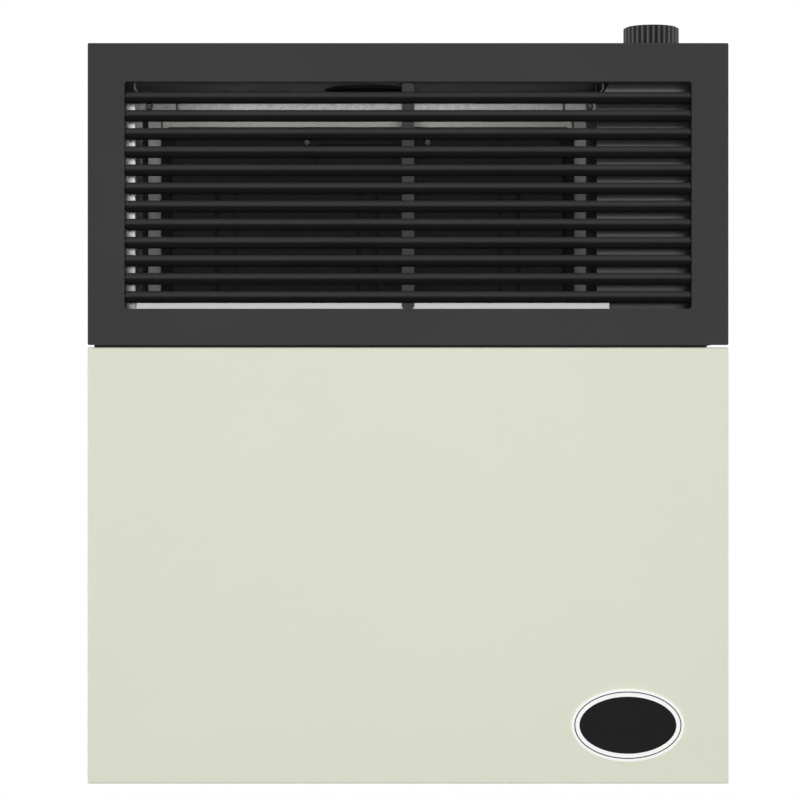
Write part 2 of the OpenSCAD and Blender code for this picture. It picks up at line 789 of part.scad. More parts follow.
// Round-ended upright bead whose crown stands bead_h proud of the face at y = 0
module beads(r) {
    foot = door_top + bead_tip + bead_w/2;
    for (i = [-1:1]) translate([i*bead_pitch, bead_r - bead_h, foot - tray_foot]) {
        cylinder(r = r, h = bead_top - bead_w/2 - foot);
        sphere(r);
        translate([0, 0, bead_top - bead_w/2 - foot]) sphere(r);
    }
}

module at_seam_rivets() {
    mid = seam_flange/2;
    h = tray_top - tray_foot;
    for (side = [-1, 1], i = [0:3])
        translate([side*(tray_w/2 + mid), 0, h*(0.14 + 0.24*i)]) children();
    for (side = [-1, 1], up = [-mid, h + mid]) translate([side*tray_w*0.27, 0, up]) children();
}

module chamber_front() color(black_enamel) in_cabinet() translate([chamber_x, tray_front, tray_foot]) {
    depth = seam_y - gasket_t/2 - tray_front;
    pressed_shell(depth) {
        intersection() {
            beads(bead_r);
            translate([-tray_w/2, -bead_h - 1, 0]) cube([tray_w, bead_h + 1 + shell_t/2, tray_top - tray_foot]);
        }
        union() {
            intersection() {
                beads(bead_r - shell_t);
                translate([-tray_w/2, -bead_h - 1, 0]) cube([tray_w, bead_h + 2 + shell_t, tray_top]);
            }
            translate([0, -bead_h - 1, door_foot + door_land - tray_foot])
                flat_plate(door_w - 2*door_land, door_h - 2*door_land, bead_h + 3 + shell_t, 8);
            at_seam_rivets() along_y(2.2, depth + 1);
            translate([0, -1, -tray_foot]) at_plate_screws() along_y(small_hole_d/2, shell_t + 2);
        }
    }
}

module chamber_rear() color(black_enamel) in_cabinet()
    translate([chamber_x, tray_back, tray_foot]) mirror([0, 1, 0]) {
        depth = tray_back - seam_y - gasket_t/2;
        neck_l = duct_front + 4 - tray_back;
        pressed_shell(depth) {
            translate([0, -neck_l, neck_up - tray_foot]) along_y(neck_d/2, neck_l + shell_t);
            union() {
                translate([0, -neck_l - 1, neck_up - tray_foot]) along_y(neck_d/2 - neck_t, neck_l + 3);
                translate([0, -1, flue_up - tray_foot]) along_y(flue_d/2 - 4, shell_t + 2);
                at_seam_rivets() along_y(2.2, depth + 1);
            }
        }
    }

module chamber_gasket() color(fibre) in_cabinet()
    translate([chamber_x, seam_y - gasket_t/2, tray_foot]) {
        h = tray_top - tray_foot;
        difference() {
            translate([0, 0, -seam_flange])
                flat_plate(2*half_flange, h + 2*seam_flange, gasket_t, flange_corner);
            translate([0, -1, shell_t])
                flat_plate(tray_w - 2*shell_t, h - 2*shell_t, gasket_t + 2, tray_corner - shell_t);
            at_seam_rivets() translate([0, -1, 0]) along_y(2.2, gasket_t + 2);
        }
    }

module seam_rivets() color(bright_steel) in_cabinet()
    translate([chamber_x, seam_y, tray_foot]) at_seam_rivets() {
        half = gasket_t/2 + shell_t;
        translate([0, -half - 2, 0]) along_y(4, 2);
        translate([0, half, 0]) along_y(3.5, 2);
        translate([0, -half, 0]) along_y(2, 2*half);
    }

plate_foot = bead_top + 2;
plate_top = tray_top - 2.5;
plate_t = 1.4;
plate_screws_x = 52;
plate_screws_up = [plate_top - 28, plate_top - 4];

module inspection_plate() color(black_enamel) in_cabinet()
    translate([chamber_x, tray_front - plate_t, plate_foot]) {
        dish_w = 89;
        dish_h = plate_top - plate_foot - 11.5;
        dish_d = 3;
        difference() {
            flat_plate(2*plate_screws_x + 16, plate_top - plate_foot, plate_t, 6);
            translate([0, 0, -plate_foot]) at_plate_screws() translate([0, -1, 0])
                along_y(small_hole_d/2, plate_t + 2);
        }
        translate([0, -dish_d, 6]) folded_block(dish_w, dish_d, dish_h, 2, [5, 5], [2, 2]);
    }

module at_plate_screws()
    for (side = [-1, 1], up = plate_screws_up) translate([side*plate_screws_x, 0, up]) children();

module inspection_screws() color(bright_steel) in_cabinet()
    translate([chamber_x, tray_front - plate_t, 0]) at_plate_screws()
        pan_screw(6.4, 2.2, small_screw_d, plate_t + shell_t + 2);

// ---------------------------------------------------------------- burner and its door

module at_door_screws() {
    half = door_w/2 - door_screw_in;
    rise = door_h - 2*door_screw_in;
    for (side = [-1, 1], i = [0:1]) translate([side*half, 0, door_screw_in + i*rise]) children();
    for (side = [-1, 1], i = [0:1]) translate([side*half/3, 0, door_screw_in + i*rise]) children();
}

module on_door() translate([chamber_x, 0, door_foot]) children();

module burner_door() color(black_enamel) in_cabinet() difference() {
    translate([0, door_y, 0]) on_door() flat_plate(door_w, door_h, door_t, 10);
    on_door() at_door_screws() translate([0, door_y - 1, 0]) along_y(2.2, door_t + 2);
    translate([chamber_x, door_y - 1, sight_up]) along_y(sight_r, door_t + 2);
    translate([injector_x, door_y - 1, burner_up]) along_y(6.3, door_t + 2);
    translate([pilot_x, door_y - 1, pilot_up]) along_y(3.3, door_t + 2);
    translate([probe_x, door_y - 1, probe_up]) along_y(2.8, door_t + 2);
    translate([spark_x, door_y - 1, spark_up]) along_y(3.3, door_t + 2);
}

module door_gasket() color(fibre) in_cabinet() translate([0, door_back, 0]) on_door() difference() {
    flat_plate(door_w, door_h, gasket_t, 10);
    translate([0, -1, door_land]) flat_plate(door_w - 2*door_land, door_h - 2*door_land, gasket_t + 2, 8);
    at_door_screws() translate([0, -1, 0]) along_y(2.2, gasket_t + 2);
}

module door_screws() color(bright_steel) in_cabinet()
    translate([0, door_y, 0]) on_door() at_door_screws() pan_screw(8, 3, 4, door_t + gasket_t);

module sight_glass() color([0.75, 0.82, 0.84, 0.5]) in_cabinet()
    translate([chamber_x, door_y - glass_t, sight_up]) along_y(sight_glass_r, glass_t);

module sight_glass_frame() color(bright_steel) in_cabinet()
    translate([chamber_x, door_y - 2*glass_t, sight_up]) difference() {
        along_y(sight_frame_r, 2*glass_t);
        translate([0, -1, 0]) along_y(sight_r, glass_t + 2);
        translate([0, glass_t, 0]) along_y(sight_glass_r + 0.1, glass_t + 1);
    }

module burner_tube() color(bright_steel) in_cabinet() translate([0, burner_y, burner_up]) {
    r = burner_d/2;
    t = 1;
    throat_r = 11;
    bell_r = 15;
    ports_l = venturi_x - burner_left;
    end = injector_x - 16 - burner_left;
    profile = [[0, 0], [r, 0], [r, ports_l], [throat_r, ports_l + 15], [throat_r, end - 11], [bell_r, end],
        [bell_r - t, end], [throat_r - t, end - 11], [throat_r - t, ports_l + 15],
        [r - t, ports_l], [r - t, t], [0, t]];
    difference() {
        translate([burner_left, 0, 0]) rotate([0, 90, 0]) rotate_extrude() polygon(profile);
        for (i = [0:port_count - 1])
            translate([burner_left + 8 + i*(ports_l - 16)/(port_count - 1) - 0.75, -6, 0]) cube([1.5, 12, r + 1]);
    }
}

module burner_brackets() color(bright_steel) in_cabinet() {
    t = 1.2;
    rise = burner_d/2 + 3;
    foot = 10;
    reach = burner_in + rise + gasket_t;
    for (x = [burner_left + 12, venturi_x - 20]) translate([x, door_back, burner_up]) difference() {
        union() {
            translate([0, 0, -rise]) cube([t, reach, 2*rise]);
            translate([-foot, 0, -rise]) cube([foot + t, t, 2*rise]);
        }
        translate([-1, burner_in + gasket_t, 0]) along_x(burner_d/2 + 0.1, t + 2);
    }
}

module injector() color(brass) in_cabinet() translate([injector_x, 0, burner_up]) {
    translate([0, door_y - fitting_l, 0]) rotate([-90, 0, 0]) cylinder(r = 9, h = fitting_l, $fn = 6);
    translate([0, door_y, 0]) along_y(6, burner_y - 8 - door_y);
    translate([-8, burner_y - 8, -8]) cube([16, 16, 16]);
    translate([-16, burner_y, 0]) along_x(3, 8);
    translate([-12, burner_y, 0]) along_x(5, 4);
}

module pilot_burner() color(bright_steel) in_cabinet() translate([pilot_x, 0, pilot_up]) {
    translate([0, door_y - 6, 0]) rotate([-90, 0, 0]) cylinder(r = 5, h = 6, $fn = 6);
    translate([0, door_y, 0]) along_y(3, burner_in - 8);
    difference() {
        translate([-16, door_y + burner_in - 8, -5]) cube([20, 12, 10]);
        translate([-17, door_y + burner_in - 6, -3]) cube([12, 8, 9]);
    }
}

module thermocouple() color("peru") in_cabinet() {
    y = door_y - 6;
    tube_run([[knob_x, knob_in - valve_d/2, valve_foot + 12], [knob_x, probe_lane, valve_foot + 12],
        [knob_x, probe_lane, probe_up], [probe_x, probe_lane, probe_up], [probe_x, y, probe_up]], 1.2, 4);
    translate([probe_x, y, probe_up]) along_y(4, 6);
    translate([probe_x, y + 6, probe_up]) along_y(2.5, burner_in);
}

module spark_electrode() color("white") in_cabinet() translate([spark_x, door_y, spark_up]) {
    translate([0, -6, 0]) along_y(4, 6);
    along_y(3, burner_in - 6);
    translate([0, burner_in - 6, 0]) along_y(0.9, 8);
}

pilot_lane = tray_front - 15;
probe_lane = tray_front - 12;
feed_lane = tray_front - 20;
lead_lane = tray_front - 16;

module main_gas_tube() color(cast_alloy) in_cabinet() {
    turn_x = chamber_x + half_flange + 3;
    tube_run([[knob_x - valve_w/2 - 4, knob_in, burner_up], [turn_x, knob_in, burner_up],
        [turn_x, feed_lane, burner_up], [injector_x, feed_lane, burner_up],
        [injector_x, door_y - fitting_l, burner_up]], feed_d/2, feed_d*1.1);
}

module pilot_tube() color(cast_alloy) in_cabinet() {
    x = knob_x - 11.5;
    up = valve_foot + 12;
    tube_run([[x, knob_in - valve_d/2, up], [x, pilot_lane, up], [x, pilot_lane, pilot_up],
        [pilot_x, pilot_lane, pilot_up], [pilot_x, door_y - 6, pilot_up]], 2, 5);
}

module ignition_lead() color("firebrick") in_cabinet() {
    turn_x = chamber_x + half_flange + 5;
    tube_run([[knob_x, button_y, piezo_foot - terminal_h], [knob_x, button_y, spark_up],
        [turn_x, button_y, spark_up], [turn_x, lead_lane, spark_up],
        [spark_x, lead_lane, spark_up], [spark_x, door_y - 6, spark_up]], 1.5, 5);
}

// ---------------------------------------------------------------- valve and controls

module gas_valve() color(cast_alloy) in_cabinet() translate([knob_x, knob_in, valve_foot]) difference() {
    union() {
        translate([0, -valve_d/2, 0]) linear_extrude(valve_h) translate([-valve_w/2, 0])
            plate_outline(valve_w, valve_d, 5, 5, 5, 5);
        translate([0, 0, valve_h]) cylinder(r = 16, h = 6);
        translate([0, 0, valve_h]) cylinder(r = 8.5, h = boss_top - valve_foot - valve_h);
        translate([-valve_w/2 - 4, 0, burner_up - valve_foot]) along_x(8, 8);
    }
    translate([0, 0, stem_foot - 8 - valve_foot])
        cylinder(r = stem_d/2 + run_gap, h = boss_top - stem_foot + 10);
}

module valve_bracket() color(galvanised) in_cabinet() {
    t = 1.5;
    half = valve_d/2 + 5;
    leg = 32;
    left = wall_x + shield_t;
    difference() {
        translate([left, knob_in - half, valve_foot - t]) cube([knob_x + valve_w/2 + 4 - left, 2*half, t]);
        translate([knob_x, knob_in, valve_foot - t - 1]) cylinder(r = inlet_d/2 + 3.5, h = t + 2);
    }
    translate([left, knob_in - half, valve_foot - leg]) cube([t, 2*half, leg]);
}

module gas_inlet() color(brass) in_cabinet() translate([knob_x, knob_in, valve_foot - inlet_l]) difference() {
    nut_h = 10;
    neck_h = 4.5;
    thread_l = inlet_l - nut_h - neck_h;
    union() {
        cylinder(d = inlet_d, h = thread_l);
        translate([0, 0, thread_l]) cylinder(d = inlet_d + 6, h = nut_h, $fn = 6);
        cylinder(d = inlet_d - 0.2, h = inlet_l);
    }
    translate([0, 0, -1]) cylinder(d = inlet_d - 5, h = inlet_l - neck_h - 2 + 1);
}

module thermostat_bulb() color("peru") in_cabinet() {
    x = knob_x + bulb_aside;
    up = valve_foot + 10;
    top = bulb_foot + bulb_l;
    tube_run([[x, knob_in + valve_d/2, up], [x, bulb_y, up], [x, bulb_y, top]], 1, 5);
    translate([x, bulb_y, bulb_foot]) cylinder(r = bulb_r, h = bulb_l);
}

module bulb_clips() color(galvanised) in_cabinet()
    for (up = [bulb_foot + 13, bulb_foot + 58]) translate([knob_x + bulb_aside, bulb_y, up]) difference() {
        w = 8;
        union() {
            cylinder(r = bulb_r + 1.5, h = w);
            translate([-w/2, bulb_r, 0]) cube([w, cab_d - sheet - bulb_r - bulb_y, w]);
        }
        translate([0, 0, -1]) cylinder(r = bulb_r + run_gap, h = w + 2);
    }

module control_bracket() color(galvanised) in_cabinet() {
    left = wall_x + shield_t;
    back = button_y + 30;
    leg = 30;
    leg_w = 50;
    difference() {
        translate([left, bracket_front, bracket_up]) cube([cover_right - left, back - bracket_front, bracket_t]);
        translate([knob_x, knob_in, bracket_up - 1]) cylinder(r = bush_r + 0.1, h = bracket_t + 2);
        translate([knob_x, button_y, bracket_up - 1]) cylinder(r = piezo_r + 0.2, h = bracket_t + 2);
        translate([left - 1, bracket_front - 1, bracket_up - 1])
            cube([1 + shield_t + fit_gap, back - leg_w - 3 + 1 - bracket_front, bracket_t + 2]);
    }
    translate([left, back - leg_w, bracket_up - leg]) cube([bracket_t, leg_w, leg]);
}

module shaft_bushing() color(brass) in_cabinet() translate([knob_x, knob_in, bracket_up]) difference() {
    union() {
        translate([0, 0, -13]) cylinder(r = bush_r, h = 13 + bracket_t);
        translate([0, 0, bracket_t]) cylinder(r = bush_r + 4, h = 3);
    }
    translate([0, 0, -14]) cylinder(r = shaft_d/2 + run_gap, h = 20);
}

module control_knob() color(black_plastic) in_cabinet() translate([knob_x, knob_in, knob_foot]) {
    r = knob_d/2;
    rim = 1;
    cap_r = r - flute_d;
    dish_r = r - 5;
    dish_d = 0.8;
    flute_r = 2.1;
    skirt_t = 4;
    roof_t = 4;
    socket_h = shaft_top + fit_gap - knob_foot;
    difference() {
        union() {
            linear_extrude(knob_h - rim) difference() {
                circle(r);
                for (i = [0:knob_flutes - 1]) rotate(360*i/knob_flutes)
                    translate([r + flute_r - flute_d, 0]) circle(flute_r);
            }
            rotate_extrude() {
                square([cap_r, knob_h - rim]);
                square([cap_r - rim, knob_h]);
                translate([cap_r - rim, knob_h - rim]) circle(rim);
            }
        }
        translate([0, 0, knob_h - dish_d]) cylinder(r = dish_r, h = dish_d + 1);
        translate([0, 0, -1]) cylinder(r = r - skirt_t, h = knob_h - roof_t + 1);
    }
    difference() {
        translate([0, 0, -hub_h]) cylinder(r = hub_r, h = hub_h + knob_h - roof_t);
        translate([0, 0, -hub_h - 1]) cylinder(r = shaft_d/2 + run_gap, h = socket_h + hub_h + 1);
    }
    translate([-1, dish_r*0.45, knob_h - dish_d]) cube([2, dish_r*0.5, dish_d]);
}

module control_shaft() color(bright_steel) in_cabinet() translate([knob_x, knob_in, shaft_foot])
    cylinder(d = shaft_d, h = shaft_top - shaft_foot);

module shaft_coupling() color(bright_steel) in_cabinet() translate([knob_x, knob_in, coupling_foot]) difference() {
    cylinder(r = coupling_r, h = coupling_l);
    translate([0, 0, -1]) cylinder(r = stem_d/2 + run_gap, h = 14);
    translate([0, 0, shaft_foot - coupling_foot - 0.2]) cylinder(r = shaft_d/2 + run_gap, h = coupling_l);
}

module valve_stem() color(bright_steel) in_cabinet() translate([knob_x, knob_in, stem_foot])
    cylinder(d = stem_d, h = stem_top - stem_foot);

module spring_washer() color(bright_steel) in_cabinet() translate([knob_x, knob_in, boss_top + spring_l]) difference() {
    cylinder(r = 9, h = washer_t);
    translate([0, 0, -1]) cylinder(r = stem_d/2 + run_gap, h = washer_t + 2);
}

module knob_spring() color(bright_steel) in_cabinet()
    translate([knob_x, knob_in, boss_top]) coil_spring(6, 0.6, 5, spring_l);

module piezo_body() color(black_plastic) in_cabinet() translate([knob_x, button_y, piezo_foot]) difference() {
    union() {
        cylinder(r = piezo_r, h = top_in - 2 - piezo_foot);
        translate([0, 0, -terminal_h]) cylinder(r = 4, h = terminal_h + 1);
        translate([0, 0, bracket_up + bracket_t - piezo_foot]) cylinder(r = piezo_r + 3, h = 3);
    }
    translate([0, 0, piezo_floor - piezo_foot]) cylinder(r = button_d/2 + run_gap, h = cab_h);
}

module igniter_button() color(black_plastic) in_cabinet() translate([knob_x, button_y, button_foot]) {
    r = button_d/2;
    h = cab_h + button_rise - button_foot;
    rim = 1.5;
    rotate_extrude() {
        square([r - rim, h]);
        square([r, h - rim]);
        translate([r - rim, h - rim]) circle(rim);
    }
}

module button_spring() color(bright_steel) in_cabinet()
    translate([knob_x, button_y, piezo_floor]) coil_spring(5, 0.5, 5, button_foot - piezo_floor);

// ---------------------------------------------------------------- flue

module flue_tube() color(cast_alloy) in_cabinet() translate([chamber_x, tray_back, flue_up]) {
    outer = flue_d/2;
    neck = outer - 2;
    t = spigot_t;
    l = spigot_end - tray_back;
    swage = l - 25;
    flange = outer + 12;
    rotate([-90, 0, 0]) rotate_extrude() polygon([[neck - t, 0], [flange, 0], [flange, 1.2], [neck, 1.2],
        [neck, swage - 3], [outer, swage], [outer, l], [outer - t, l], [outer - t, swage], [neck - t, swage - 3]]);
}

module air_duct() color(galvanised) in_cabinet() translate([chamber_x, 0, duct_foot]) {
    t = shield_t;
    h = duct_top - duct_foot;
    l = duct_back - t - duct_front;
    difference() {
        union() {
            translate([-duct_w/2 - duct_flange, duct_front, -duct_flange])
                cube([duct_w + 2*duct_flange, t, h + 2*duct_flange]);
            translate([-duct_w/2, duct_front, 0]) cube([duct_w, l, h]);
        }
        translate([-duct_w/2 + t, duct_front - 1, t]) cube([duct_w - 2*t, l + 2, h - 2*t]);
    }
}

module duct_rear_plate() color(galvanised) in_cabinet()
    translate([chamber_x, duct_back - shield_t, duct_foot]) difference() {
        flat_plate(duct_w, duct_top - duct_foot, shield_t, 0);
        translate([0, -1, flue_up - duct_foot]) along_y(air_d/2 - spigot_t, shield_t + 2);
    }

module air_collar() color(cast_alloy) in_cabinet() translate([chamber_x, duct_back, flue_up])
    rotate([-90, 0, 0]) {
        outer = air_d/2;
        t = spigot_t;
        flange = outer + 10;
        l = spigot_end - duct_back;
        rotate_extrude() polygon([[outer - t, 0], [flange, 0], [flange, 1.2], [outer, 1.2], [outer, l], [outer - t, l]]);
    }

upper_casing();
grille_rods();
grille_tie_bar();
top_deflector();
deflector_brackets();
lower_casing();
badge_plate();
casing_screws();
back_panel();
rear_shield();
shield_legs();
left_side_shield();
left_frame_arm();
compartment_wall();
control_cover();
front_heat_shield();
cross_brace();
brace_screws();
chamber_front();
chamber_rear();
chamber_gasket();
seam_rivets();
chamber_spacers();
chamber_bolts();
inspection_plate();
inspection_screws();
burner_door();
door_gasket();
door_screws();
sight_glass();
sight_glass_frame();
burner_tube();
burner_brackets();
injector();
pilot_burner();
thermocouple();
spark_electrode();
main_gas_tube();
pilot_tube();
ignition_lead();
gas_valve();
valve_bracket();
gas_inlet();
control_bracket();
shaft_bushing();
control_knob();
control_shaft();
shaft_coupling();
valve_stem();
spring_washer();
knob_spring();
piezo_body();
igniter_button();
button_spring();
flue_tube();
air_duct();
duct_rear_plate();
air_collar();
thermostat_bulb();
bulb_clips();
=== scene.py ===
"""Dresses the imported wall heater: coatings and metals, the plain badge, floor, lights and camera.

Everything is in metres in the frame of the CAD: X across the front, +Y into the wall, Z up.
Noise scales are in cycles per metre of the object, so the grain keeps its real size.
"""
import json
import math

import bpy
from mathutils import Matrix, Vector


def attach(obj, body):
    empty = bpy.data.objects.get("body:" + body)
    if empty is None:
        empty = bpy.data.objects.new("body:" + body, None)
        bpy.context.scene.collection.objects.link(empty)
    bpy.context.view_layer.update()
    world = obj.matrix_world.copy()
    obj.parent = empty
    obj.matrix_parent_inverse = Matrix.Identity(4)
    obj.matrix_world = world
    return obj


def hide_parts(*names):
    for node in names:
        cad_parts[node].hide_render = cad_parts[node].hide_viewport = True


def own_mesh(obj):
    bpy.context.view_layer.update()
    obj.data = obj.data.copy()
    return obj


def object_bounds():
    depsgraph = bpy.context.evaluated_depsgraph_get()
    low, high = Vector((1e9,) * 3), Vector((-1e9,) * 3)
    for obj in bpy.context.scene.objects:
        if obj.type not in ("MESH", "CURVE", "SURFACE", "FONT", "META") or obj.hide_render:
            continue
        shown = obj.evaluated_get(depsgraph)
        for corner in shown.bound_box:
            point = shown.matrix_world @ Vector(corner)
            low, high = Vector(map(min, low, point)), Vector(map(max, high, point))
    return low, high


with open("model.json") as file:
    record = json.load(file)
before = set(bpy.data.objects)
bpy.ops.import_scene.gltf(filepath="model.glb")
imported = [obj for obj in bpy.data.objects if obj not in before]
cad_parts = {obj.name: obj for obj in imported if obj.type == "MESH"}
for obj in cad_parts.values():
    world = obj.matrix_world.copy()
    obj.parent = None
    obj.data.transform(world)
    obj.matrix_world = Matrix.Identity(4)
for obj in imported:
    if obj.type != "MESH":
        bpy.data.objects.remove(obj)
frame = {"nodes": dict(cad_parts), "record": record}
cad_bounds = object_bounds()

CAMERA_AT = (-0.0068, -2.52, 0.0112)
CAMERA_LENS = 122.90
SENSOR_WIDTH = 36.0
FLOOR_DROP = 0.34
FLOOR_RADIUS = 4.0
FLOOR_SIDES = 64
SHADOW_RADIUS = 0.9
AMBIENT = 0.06
SMOOTH_BELOW = 32.0      # degrees between faces that still shade as one round form

KNOB_AT = (0.2115, -0.145)
KNOB_FLUTES = (0.0227, 0.0238)           # radii of the flutes' valleys and crests
RECESS_AT = (-0.035, -0.094, 0.0392)     # deflector's round recess: x, y and radius
FACING = 0.9                             # share of a normal along the axis that it faces
BADGE_STEP = 0.0002                      # depth that tells the badge's levels apart
REAR_FIELD_Y = -0.0485                   # the rear shield's pressed field lies behind this
FIELD_FACING = 0.5                       # as FACING, with the field's rounded edges
REAR_FIELD_X = (-0.0363, 0.1859)         # its middle and half width
BRACE_NOTCHES_X = (-0.03225, 0.1664)     # the same for the brace's two notches
UNDERSIDE_Z = 0.29                       # the hood's inside is above this
UPSTAND_Z = 0.289                        # and the deflector's upstands above this
TONGUE_Y = -0.216
TONGUE_REACH = 0.0003

ZINC_TONE = 0.76
SPANGLE_SCALE = 260.0
SPECKLE_SCALE = 900.0
STEP_SHADOW_TONE = 0.12
STEP_SHADOW_REACH = (0.0005, 0.0010)            # distances from a step, in painted shadow and clear
UNDERSIDE_SHADE_FACING = (-0.14, 0.28)              # a normal's Z from full painted underside shade to none


# ------------------------------------------------------------------ node helpers

class Graph:
    """A material's or world's node tree, with short calls to add and link nodes."""

    def __init__(self, owner):
        owner.use_nodes = True
        self.tree = owner.node_tree
        self.tree.nodes.clear()

    def add(self, kind, settings=None, **inputs):
        node = self.tree.nodes.new("ShaderNode" + kind)
        for key, value in (settings or {}).items():
            setattr(node, key, value)
        for key, value in inputs.items():
            self.put(node, key.replace("_", " "), value)
        return node

    def put(self, node, key, value):
        socket = node.inputs[int(key)] if key.isdigit() else node.inputs[key]
        if isinstance(value, bpy.types.NodeSocket):
            self.tree.links.new(value, socket)
        elif isinstance(value, tuple) and socket.type == "RGBA":
            socket.default_value = (*value, 1.0)
        else:
            socket.default_value = value

    def math(self, operation, a, b=0.0):
        node = self.add("Math", {"operation": operation})
        self.put(node, "0", a)
        self.put(node, "1", b)
        return node.outputs[0]

    def place(self):
        return self.add("TexCoord").outputs["Object"]

    def along(self, axis):
        return self.add("SeparateXYZ", Vector=self.place()).outputs[axis]

    def noise(self, scale, detail=4.0, roughness=0.5, vector=None):
        return self.add("TexNoise", Vector=vector or self.place(), Scale=scale, Detail=detail,
                        Roughness=roughness).outputs["Fac"]

    def cells(self, scale, vector):
        """A random colour for each cell."""
        return self.add("TexVoronoi", Vector=vector, Scale=scale).outputs["Color"]

    def channel(self, colour, index):
        return self.add("SeparateColor", Color=colour).outputs[index]

    def wave(self, direction, scale):
        return self.add("TexWave", {"bands_direction": direction}, Vector=self.place(),
                        Scale=scale).outputs["Fac"]

    def ramp(self, value, stops):
        node = self.add("ValToRGB", Fac=value)
        points = node.color_ramp.elements
        while len(points) < len(stops):
            points.new(0.5)
        for point, (at, colour) in zip(points, stops):
            point.position = at
            point.color = (*colour, 1.0)
        return node.outputs["Color"]

    def spread(self, value, low, high, start=0.3, end=0.7):
        """Goes from low to high as the value goes from start to end, and stays there."""
        return self.add("MapRange", Value=value, From_Min=start, From_Max=end,
                        To_Min=low, To_Max=high).outputs["Result"]

    def bump(self, height, strength, distance, normal=None):
        node = self.add("Bump", Height=height, Strength=strength, Distance=distance)
        if normal is not None:
            self.put(node, "Normal", normal)
        return node.outputs["Normal"]

    def scaled(self, colour, share):
        node = self.add("VectorMath", {"operation": "SCALE"}, Scale=share)
        self.put(node, "0", colour)
        return node.outputs[0]

    def share(self, painted_light_fades):
        """Painted light and shade along axes of the object: (axis, low, high, start, end) each."""
        share = 1.0
        for axis, *span in painted_light_fades:
            share = self.math("MULTIPLY", self.spread(self.along(axis), *span), share)
        return share

    def mixed(self, first, second, share):
        blend = self.add("MixShader", Fac=share)
        self.put(blend, "1", first)
        self.put(blend, "2", second)
        return blend.outputs[0]

    def coat(self, **inputs):
        """The main shader, linked to the material's output."""
        shader = self.add("BsdfPrincipled", **inputs)
        self.finish(shader.outputs[0])

    def finish(self, shader, kind="OutputMaterial"):
        self.put(self.add(kind), "Surface", shader)


def new_material(name):
    mat = bpy.data.materials.new(name)
    return mat, Graph(mat)


def grey(value):
    return (value, value, value)


def tinted(colour, share):
    return tuple(min(1.0, c * share) for c in colour)


# ------------------------------------------------------------------ materials

def coating(name, colour, rough, grain, grain_scale, mottle, coat=0.0, specular=0.5, underside_shade=0.0,
            painted_light_fades=()):
    """Painted or powder-coated sheet: faint mottling, orange peel and a fine grain. The
    underside shade is painted shade that darkens what faces down, and the fades are painted
    light and shade: gradients along the object's axes that scale the colour and its sheen."""
    mat, g = new_material(name)
    tone = g.ramp(g.noise(9.0, 3.0),
                  [(0.3, tinted(colour, 1 - mottle)), (0.7, tinted(colour, 1 + mottle))])
    # painted shade: faces turned down are darkened
    if underside_shade > 0:
        facing = g.add("TexCoord").outputs["Normal"]
        up = g.add("SeparateXYZ", Vector=facing).outputs["Z"]
        tone = g.scaled(tone, g.spread(up, 1.0 - underside_shade, 1.0, *UNDERSIDE_SHADE_FACING))
    # painted light and shade: colour and sheen scaled along the object's axes
    if painted_light_fades:
        share = g.share(painted_light_fades)
        tone = g.scaled(tone, share)
        specular = g.math("MULTIPLY", share, specular)
    peel = g.noise(grain_scale * 0.22, 2.0)
    fine = g.noise(grain_scale, 5.0, 0.6)
    normal = g.bump(fine, grain, 0.00012, g.bump(peel, grain * 0.6, 0.0004))
    g.coat(Base_Color=tone, Roughness=g.spread(fine, rough - 0.05, rough + 0.05), Normal=normal,
           Coat_Weight=coat, Coat_Roughness=0.12, Specular_IOR_Level=specular)
    return mat


def galvanised(name, tint, metallic=0.4, rough=0.47, speckle=0.12, painted_light_fades=(), step_shadow=None,
               specular=0.5):
    """Hot-dip zinc: small crystal spangles, each with its own grey and gloss, and a finer
    speckle. The fades are painted light and shade along the object's axes; the step shadow,
    a middle and half width on X, gives a field whose edges get a painted shadow line."""
    mat, g = new_material(name)
    wander = g.add("TexNoise", Vector=g.place(), Scale=60.0, Detail=2.0).outputs["Color"]
    bent = g.add("Mix", {"data_type": "RGBA", "blend_type": "LINEAR_LIGHT"}, Factor=0.006)
    g.put(bent, "6", g.place())
    g.put(bent, "7", wander)
    large = g.channel(g.cells(SPANGLE_SCALE, bent.outputs[2]), 0)
    small = g.channel(g.cells(SPECKLE_SCALE, bent.outputs[2]), 1)
    shade = g.math("ADD", g.math("MULTIPLY", large, 0.45), g.math("MULTIPLY", small, 0.55))
    tone = g.ramp(shade, [(0.1, tinted(tint, ZINC_TONE - speckle)), (0.5, tinted(tint, ZINC_TONE)),
                          (0.9, tinted(tint, ZINC_TONE + speckle))])
    # painted light and shade along the object's axes
    if painted_light_fades:
        tone = g.scaled(tone, g.share(painted_light_fades))
    # painted shadow: a dark line along the field's edges, where its step falls
    if step_shadow:
        middle, half_width = step_shadow
        edge = g.math("ABSOLUTE", g.math("SUBTRACT", g.along("X"), middle))
        edge = g.math("ABSOLUTE", g.math("SUBTRACT", edge, half_width))
        tone = g.scaled(tone, g.spread(edge, STEP_SHADOW_TONE, 1.0, *STEP_SHADOW_REACH))
    normal = g.bump(g.noise(1500.0, 3.0), 0.10, 0.0001, g.bump(shade, 0.12, 0.0004))
    g.coat(Base_Color=tone, Metallic=metallic, Normal=normal, Specular_IOR_Level=specular,
           Roughness=g.spread(shade, rough - 0.08, rough + 0.08, 0.1, 0.9))
    return mat


def metal(name, colour, rough, brush=(1.0, 1.0, 1.0), variation=0.12, bump=0.08, scale=900.0):
    """Bare or plated metal; brush squeezes the grain along one axis."""
    mat, g = new_material(name)
    brushed = g.add("Mapping", Vector=g.place(), Scale=brush).outputs["Vector"]
    grain = g.noise(scale, 4.0, 0.6, brushed)
    tone = g.ramp(g.noise(35.0, 3.0), [(0.25, tinted(colour, 1 - variation)),
                                       (0.75, tinted(colour, 1 + variation / 2))])
    g.coat(Base_Color=tone, Metallic=1.0, Roughness=g.spread(grain, rough - 0.07, rough + 0.07),
           Normal=g.bump(grain, bump, 0.0001))
    return mat


